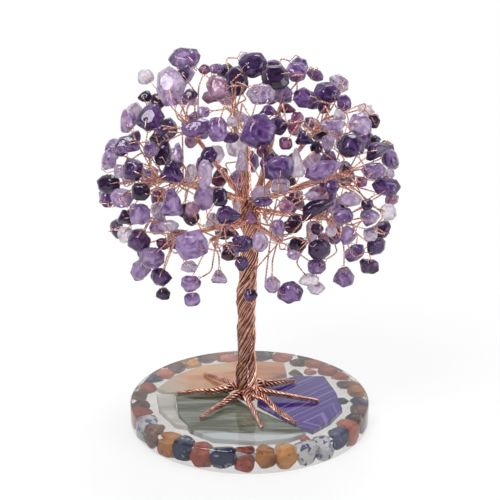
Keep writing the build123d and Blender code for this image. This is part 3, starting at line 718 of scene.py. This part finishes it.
# %% [markdown]
# ## Tumbled stones
# A tumbled chip is a broken crystal with every edge worn round. Each one starts as the
# model's bevelled block. A voxel remesh gives it even small faces, and smoothing them
# wears its edges down and rounds the mouth of its drilled hole. Slow waves and flat faces
# then make each chip its own shape. Each draw comes from one seed, its node's name, so
# the same stones come out on every run.

# %% The shape of a stone
WAVES = 3
WAVE_RATE = 2.4
WAVE_PHASES = 6.3
FLATTEST_SHARE = 0.62


def swollen(places, chance, share):
    """Swellings and hollows of a broken stone, as three slow waves across it."""
    middle = places.mean(axis=0)
    size = np.linalg.norm(places - middle, axis=1).max()
    waves = 0
    for _ in range(WAVES):
        direction = np.array([chance.gauss(0, 1) for _ in range(3)])
        angle = (places - middle) @ direction / size * WAVE_RATE
        waves = waves + np.sin(angle + chance.uniform(0, WAVE_PHASES))
    return middle + (places - middle) * (1 + share * waves / WAVES)[:, None]


def worn_flat(places, chance, faces):
    """Flat faces on a stone: what stands past each random plane is pressed back to it."""
    middle = places.mean(axis=0)
    for _ in range(faces):
        direction = np.array([chance.gauss(0, 1) for _ in range(3)])
        direction /= np.linalg.norm(direction)
        heights = (places - middle) @ direction
        limit = heights.max() * chance.uniform(FLATTEST_SHARE, 0.98)
        places = places - np.clip(heights - limit, 0, None)[:, None] * direction
    return places


print("stone shapes ready")

# %% [markdown]
# A stone cast in the disc stays under its skin. One that is close to the rim is moved
# out to the wall, where the real ones settled.

# %% Stones inside the disc
STONE_MARGIN = 0.8 * MM
RIM_SHARE = 0.78
SETTLED = 1.9 * MM

disc_low, disc_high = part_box("resin_disc")
disc_radius = (disc_high[0] - disc_low[0]) / 2
disc_height = disc_high[2] - disc_low[2]


def inside_disc(places):
    """A cast stone near the rim settles against the wall, and none breaks through the skin."""
    middle = places[:, :2].mean(axis=0)
    if np.linalg.norm(middle) > RIM_SHARE * disc_radius:
        places[:, :2] += middle / np.linalg.norm(middle) * SETTLED
    out = np.linalg.norm(places[:, :2], axis=1)
    places[:, :2] *= np.minimum(1, (disc_radius - STONE_MARGIN) / np.maximum(out, MM))[:, None]
    places[:, 2] = places[:, 2].clip(disc_low[2] + STONE_MARGIN, disc_high[2] - STONE_MARGIN)
    return places


print("disc", round(disc_radius / MM, 1), "mm in radius,", round(disc_height / MM, 1), "mm thick")

# %% [markdown]
# Now a whole node of stones is tumbled at once. Each stone's tone, a number from nought
# to one, is stored on its points, where its material can read it.

# %% Tumbling
LEAST_STONE_POINTS = 40


def without_crumbs(mesh, groups):
    """Deletes the specks that a remesh can leave. The mesh is the active object's."""
    crumbs = [v for members in groups if len(members) < LEAST_STONE_POINTS for v in members]
    if not crumbs:
        return
    bpy.ops.object.mode_set(mode="EDIT")
    bpy.ops.mesh.select_mode(type="VERT")
    bpy.ops.mesh.select_all(action="DESELECT")
    bpy.ops.object.mode_set(mode="OBJECT")
    for v in crumbs:
        mesh.vertices[v].select = True
    bpy.ops.object.mode_set(mode="EDIT")
    bpy.ops.mesh.delete(type="VERT")
    bpy.ops.object.mode_set(mode="OBJECT")
    print(len(crumbs), "points of crumbs deleted")


def tumbled(node, voxel, rounds, sizes=(1.0, 1.0), swell=0.0, faces=0, cast=False):
    """A rounded copy of a node's stones, each with a random tone and a shape of its own.

    A stone with a wire loop grows from its loop, so that the wire still fits it.
    """
    piece = merged_copy(node, node + "_tumbled")
    remesh = piece.modifiers.new("even", "REMESH")
    remesh.mode = "VOXEL"
    remesh.voxel_size = voxel
    bpy.ops.object.modifier_apply(modifier="even")
    relax = piece.modifiers.new("worn", "SMOOTH")
    relax.factor = 0.5
    relax.iterations = rounds
    bpy.ops.object.modifier_apply(modifier="worn")
    mesh = piece.data
    places = places_of(mesh)
    tones = np.zeros(len(places))
    chance = random.Random(node)
    groups = islands(mesh)
    for members in groups:
        tones[members] = chance.random()
        stone = places[members]
        low, high = stone.min(axis=0), stone.max(axis=0)
        held = all_loops[np.all((all_loops > low) & (all_loops < high), axis=1)]
        middle = held.mean(axis=0) if len(held) else stone.mean(axis=0)
        stone = middle + (stone - middle) * [chance.uniform(*sizes) for _ in range(3)]
        stone = worn_flat(swollen(stone, chance, swell), chance, faces)
        places[members] = inside_disc(stone) if cast else stone
    mesh.vertices.foreach_set("co", places.ravel())
    tone = mesh.attributes.new("tone", "FLOAT", "POINT")
    tone.data.foreach_set("value", tones)
    mesh.update()
    without_crumbs(mesh, groups)
    bpy.ops.object.shade_smooth()
    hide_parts(node)
    return piece, sum(len(members) >= LEAST_STONE_POINTS for members in groups)


def toned(nodes, links, pattern, width):
    """A pattern shifted up or down by each stone's own tone, over a width."""
    tone = nodes.new("ShaderNodeAttribute")
    tone.attribute_name = "tone"
    shifted = maths(nodes, links, "MULTIPLY_ADD", tone.outputs["Fac"], width, pattern)
    return maths(nodes, links, "SUBTRACT", shifted, width / 2)


print("stone helpers ready")

# %% [markdown]
# ## Amethyst
# The chips run from nearly black, through violet and plum, to almost clear. Inside one
# chip the colour gathers in zones and the clear parts hold milky veils. Noise gives the
# zones, and each chip's own tone shifts them. Some transmission lets the pale chips glow,
# and low roughness gives the sharp highlights of a polished stone.

# %% Amethyst colours
AMETHYST = {
    "dark": ([(0.3, (0.017, 0.005, 0.028)), (0.5, (0.056, 0.019, 0.082)),
              (0.72, (0.22, 0.11, 0.31))], 0.35),
    "violet": ([(0.3, (0.034, 0.011, 0.068)), (0.5, (0.17, 0.075, 0.27)),
                (0.72, (0.52, 0.36, 0.62))], 0.5),
    "lilac": ([(0.3, (0.13, 0.06, 0.20)), (0.5, (0.40, 0.26, 0.49)),
               (0.72, (0.73, 0.61, 0.77))], 0.6),
    "pale": ([(0.28, (0.32, 0.20, 0.38)), (0.48, (0.63, 0.52, 0.66)),
              (0.7, (0.88, 0.82, 0.88))], 0.65),
    "plum": ([(0.3, (0.042, 0.007, 0.03)), (0.5, (0.22, 0.055, 0.15)),
              (0.72, (0.55, 0.32, 0.47))], 0.5),
}


def amethyst(tone_name):
    """One tone of amethyst. The clearer it is, the more light goes through."""
    stops, clearness = AMETHYST[tone_name]
    material, nodes, links, shader = new_material("amethyst_" + tone_name)
    zones = object_noise(nodes, links, 190, detail=5, distortion=1.6)
    ramp = colour_ramp(nodes, stops)
    links.new(toned(nodes, links, zones.outputs["Fac"], 0.34), ramp.inputs["Fac"])
    links.new(ramp.outputs["Color"], shader.inputs["Base Color"])
    shader.inputs["Transmission Weight"].default_value = clearness
    shader.inputs["IOR"].default_value = 1.54
    shader.inputs["Roughness"].default_value = 0.07
    dents = object_noise(nodes, links, 300, detail=2)
    bumpy(nodes, links, shader, dents.outputs["Fac"], 0.85, 0.25 * MM)
    return material


amethysts = {tone: amethyst(tone) for tone in AMETHYST}
slots = {part["node"]: part["material_slot"] for part in frame["record"]["subparts"]}
print("amethyst tones", list(amethysts))

# %% [markdown]
# The chips of the crown grow a little from their loops, since the real crown is packed
# closely. The nine that hang free keep nearly their own size, to have room to swing.

# %% The crown's chips
GEM_VOXEL = 0.38 * MM
GEM_SIZES = (1.02, 1.28)
HANGING_SIZES = (1.02, 1.08)
for node in matching("gems_") + matching("hanging_gem_"):
    hangs = node.startswith("hanging")
    sizes = HANGING_SIZES if hangs else GEM_SIZES
    gems, count = tumbled(node, GEM_VOXEL, 6, sizes, swell=0.1)
    gems.data.materials.append(amethysts[slots[node].removeprefix("amethyst_")])
    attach(gems, node if hangs else "tree")
    print(node, count, "stones,", len(gems.data.polygons), "faces")

# %% [markdown]
# ## Stones in the disc
# Slices of banded agate and small polished chips are cast in the resin. Agate grew in
# thin shells. A slice cut along them shows long streaks, which are stretched noise. One
# cut across them shows an eye: the largest of three slanted distances grows in nested
# corners round its middle, and noise read along that distance gives the bands.

# %% Patterns of stone
SPOT_EDGE = 0.05


def laid_over(nodes, links, base, colour, amount):
    """One colour laid over another by an amount from nought to one."""
    mix = nodes.new("ShaderNodeMixRGB")
    mix.inputs["Color2"].default_value = (*colour, 1)
    links.new(amount, mix.inputs["Fac"])
    links.new(base, mix.inputs["Color1"])
    return mix.outputs["Color"]


def spots(nodes, links, scale, least):
    """One inside small specks of a noise, nought between them."""
    grains = object_noise(nodes, links, scale, detail=3, distortion=0.4)
    return spread_out(nodes, links, grains.outputs["Fac"], least, least + SPOT_EDGE)


def level_along(nodes, links, places, bearing, weight=1.0):
    """How far out a place lies towards a bearing in the disc's plane."""
    outward = nodes.new("ShaderNodeVectorMath")
    outward.operation = "DOT_PRODUCT"
    angle = math.radians(bearing)
    outward.inputs[1].default_value = (weight * math.cos(angle), weight * math.sin(angle), 0)
    links.new(places, outward.inputs[0])
    return outward.outputs["Value"]


print("patterns ready")

# %% [markdown]
# The small chips of jasper, lapis, ochre and quartz are speckled. Their colour takes
# soft clouds first, and small specks of a second colour lie over them.

# %% Speckled chips
def chip_stone(name, stops, speck, speck_scale, least):
    """A speckled stone: soft clouds of colour under small specks of another."""
    material, nodes, links, shader = new_material(name)
    clouds = object_noise(nodes, links, 130, detail=5, distortion=0.6)
    ramp = colour_ramp(nodes, stops)
    links.new(toned(nodes, links, clouds.outputs["Fac"], 0.4), ramp.inputs["Fac"])
    specks = spots(nodes, links, speck_scale, least)
    colour = laid_over(nodes, links, ramp.outputs["Color"], speck, specks)
    links.new(colour, shader.inputs["Base Color"])
    shader.inputs["Roughness"].default_value = 0.25
    return material


print("speckled stone ready")

# %% [markdown]
# The purple slice is the one that shows an eye. A ripple bends its bands a little, so
# that they don't run straight.

# %% Agate with an eye
EYE_SIDES = ((0, 0.55), (128, 1.0), (232, 1.0))


def with_eye(name, stops, middle, slant):
    """Agate with a many-cornered eye, whose nested shells turn into long straight bands."""
    material, nodes, links, shader = new_material(name)
    place = nodes.new("ShaderNodeTexCoord")
    bent = nodes.new("ShaderNodeVectorMath")
    bent.operation = "MULTIPLY_ADD"
    bent.inputs[1].default_value = (2.4 * MM, 2.4 * MM, 0)
    ripple = object_noise(nodes, links, 55, detail=3)
    links.new(ripple.outputs["Color"], bent.inputs[0])
    links.new(place.outputs["Object"], bent.inputs[2])
    mapping = nodes.new("ShaderNodeMapping")
    mapping.inputs["Location"].default_value = [-x for x in middle]
    links.new(bent.outputs[0], mapping.inputs["Vector"])
    sides = [level_along(nodes, links, mapping.outputs["Vector"], bearing + slant, weight)
             for bearing, weight in EYE_SIDES]
    distance = sides[0]
    for side in sides[1:]:
        distance = maths(nodes, links, "MAXIMUM", distance, side)
    along = nodes.new("ShaderNodeCombineXYZ")
    links.new(distance, along.inputs["X"])
    bands = nodes.new("ShaderNodeTexNoise")
    bands.noise_dimensions = "3D"
    bands.inputs["Scale"].default_value = 620
    bands.inputs["Detail"].default_value = 4
    links.new(along.outputs[0], bands.inputs["Vector"])
    ramp = colour_ramp(nodes, stops)
    links.new(bands.outputs["Fac"], ramp.inputs["Fac"])
    links.new(ramp.outputs["Color"], shader.inputs["Base Color"])
    shader.inputs["Roughness"].default_value = 0.22
    return material


print("agate with an eye ready")

# %% [markdown]
# The other slices are streaked. The orange and the green one have a pale side too,
# whose edge wavers with the streaks.

# %% Streaked agate
ZONE_WAVER = 12 * MM


def streaked(name, stops, stretch, scale, turn=0.0, zone=None):
    """Agate cut along its shells, with long soft streaks and, if wanted, a pale side.

    A zone is its colour, its bearing, and how far out it starts and is full.
    """
    material, nodes, links, shader = new_material(name)
    place = nodes.new("ShaderNodeTexCoord")
    mapping = nodes.new("ShaderNodeMapping")
    mapping.inputs["Rotation"].default_value = (0, 0, math.radians(turn))
    mapping.inputs["Scale"].default_value = (1, stretch, 1)
    links.new(place.outputs["Object"], mapping.inputs["Vector"])
    streaks = nodes.new("ShaderNodeTexNoise")
    streaks.inputs["Scale"].default_value = scale
    streaks.inputs["Detail"].default_value = 7
    streaks.inputs["Distortion"].default_value = 0.6
    links.new(mapping.outputs["Vector"], streaks.inputs["Vector"])
    ramp = colour_ramp(nodes, stops)
    links.new(streaks.outputs["Fac"], ramp.inputs["Fac"])
    colour = ramp.outputs["Color"]
    if zone:
        pale, bearing, start, full = zone
        level = level_along(nodes, links, place.outputs["Object"], bearing)
        wavering = maths(nodes, links, "MULTIPLY_ADD", streaks.outputs["Fac"], ZONE_WAVER, level)
        growth = spread_out(nodes, links, wavering, start + ZONE_WAVER / 2, full + ZONE_WAVER / 2,
                            smooth=True)
        colour = laid_over(nodes, links, colour, pale, growth)
    links.new(colour, shader.inputs["Base Color"])
    shader.inputs["Roughness"].default_value = 0.22
    return material


print("streaked agate ready")

# %% [markdown]
# Each stone of the disc is now tumbled and given its colours. The chips at the rim are
# grown and get flat faces, since the real ones are broken gravel that fills the rim.

# %% Place the stones in the disc
CAST_VOXEL = 0.5 * MM
RIM_CHIP_SIZES = (1.35, 1.65)
SLICE_SIZES = (1.05, 1.05)
DISC_STONES = {
    "agate_orange": streaked("agate_orange", [(0.3, (0.33, 0.13, 0.05)), (0.46, (0.52, 0.24, 0.11)),
                                              (0.58, (0.56, 0.33, 0.17)), (0.75, (0.50, 0.38, 0.26))],
                             2.4, 38, 6, ((0.44, 0.38, 0.30), 196, 12 * MM, 34 * MM)),
    "agate_green": streaked("agate_green", [(0.3, (0.02, 0.022, 0.012)), (0.44, (0.09, 0.10, 0.065)),
                                            (0.56, (0.18, 0.21, 0.16)), (0.75, (0.32, 0.35, 0.30))],
                            6.0, 34, 8, ((0.50, 0.55, 0.58), 268, 30 * MM, 35 * MM)),
    "agate_purple": with_eye("agate_purple", [(0.3, (0.025, 0.008, 0.12)), (0.48, (0.05, 0.018, 0.22)),
                                              (0.56, (0.10, 0.05, 0.32)), (0.68, (0.30, 0.23, 0.54))],
                             (27.6 * MM, -21.5 * MM, 0), 8),
    "quartz_grey": streaked("quartz_grey", [(0.3, (0.30, 0.29, 0.27)), (0.5, (0.52, 0.51, 0.48)),
                                            (0.7, (0.72, 0.71, 0.68))], 2.0, 40),
    "chips_jasper": chip_stone("jasper", [(0.25, (0.20, 0.035, 0.022)), (0.5, (0.38, 0.09, 0.055)),
                                          (0.8, (0.52, 0.22, 0.15))], (0.09, 0.02, 0.018), 520, 0.62),
    "chips_lapis": chip_stone("lapis", [(0.25, (0.008, 0.012, 0.045)), (0.55, (0.03, 0.04, 0.11)),
                                        (0.8, (0.13, 0.15, 0.24))], (0.24, 0.27, 0.36), 480, 0.6),
    "chips_ochre": chip_stone("ochre_stone", [(0.25, (0.20, 0.075, 0.02)), (0.5, (0.44, 0.18, 0.045)),
                                              (0.8, (0.60, 0.34, 0.13))], (0.15, 0.06, 0.03), 300, 0.62),
    "chips_quartz": chip_stone("clear_quartz", [(0.25, (0.20, 0.21, 0.28)), (0.5, (0.42, 0.42, 0.45)),
                                                (0.75, (0.60, 0.60, 0.60))], (0.05, 0.07, 0.20), 420, 0.54),
    "chips_smoky": chip_stone("smoky_stone", [(0.25, (0.025, 0.012, 0.010)), (0.5, (0.09, 0.04, 0.03)),
                                              (0.8, (0.22, 0.12, 0.09))], (0.20, 0.15, 0.16), 420, 0.6),
}
for node, material in DISC_STONES.items():
    if node.startswith("chips"):
        stones, count = tumbled(node, CAST_VOXEL, 1, RIM_CHIP_SIZES, swell=0.1, faces=11, cast=True)
    else:
        stones, count = tumbled(node, CAST_VOXEL, 8, SLICE_SIZES, cast=True)
    stones.data.materials.append(material)
    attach(stones, "tree")
    print(node, count, "stones,", len(stones.data.polygons), "faces")

# %% [markdown]
# ## The resin disc
# The resin is clear and glossy, with a rounded rim. Light has to reach the stones
# inside, so the disc itself casts no shadow. Its base is a plain cylinder, whose rim
# edges, the level ones, are bevelled.

# %% Resin
DISC_SIDES = 160
RIM_ROUND = 1.2 * MM
RIM_STEPS = 6
resin, nodes, links, shader = new_material("clear_resin")
# The resin's grey tint is partly its own colour and partly painted shade: it darkens the floor seen through
# the disc, which casts no shadow.
shader.inputs["Base Color"].default_value = (0.60, 0.575, 0.555, 1)
shader.inputs["Transmission Weight"].default_value = 1.0
shader.inputs["IOR"].default_value = 1.46
shader.inputs["Roughness"].default_value = 0.02
swirl = object_noise(nodes, links, 45, detail=2)
bumpy(nodes, links, shader, swirl.outputs["Fac"], 0.15, 0.1 * MM)
deselect()
bpy.ops.mesh.primitive_cylinder_add(vertices=DISC_SIDES, radius=disc_radius, depth=disc_height,
                                    location=(0, 0, disc_low[2] + disc_height / 2))
disc = bpy.context.object
disc.name = "resin_disc_cast"
bpy.ops.object.transform_apply(location=True)
bpy.ops.object.mode_set(mode="EDIT")
bpy.ops.mesh.select_mode(type="EDGE")
bpy.ops.mesh.select_all(action="DESELECT")
bpy.ops.object.mode_set(mode="OBJECT")
for edge in disc.data.edges:
    heights = [disc.data.vertices[v].co.z for v in edge.vertices]
    edge.select = abs(heights[0] - heights[1]) < 0.1 * MM
bpy.ops.object.mode_set(mode="EDIT")
bpy.ops.mesh.bevel(offset=RIM_ROUND, segments=RIM_STEPS, affect="EDGES")
bpy.ops.object.mode_set(mode="OBJECT")
bpy.ops.object.shade_smooth_by_angle(angle=math.radians(40))
disc.data.materials.append(resin)
disc.visible_shadow = False
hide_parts("resin_disc")
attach(disc, "tree")
print("resin disc,", len(disc.data.polygons), "faces")
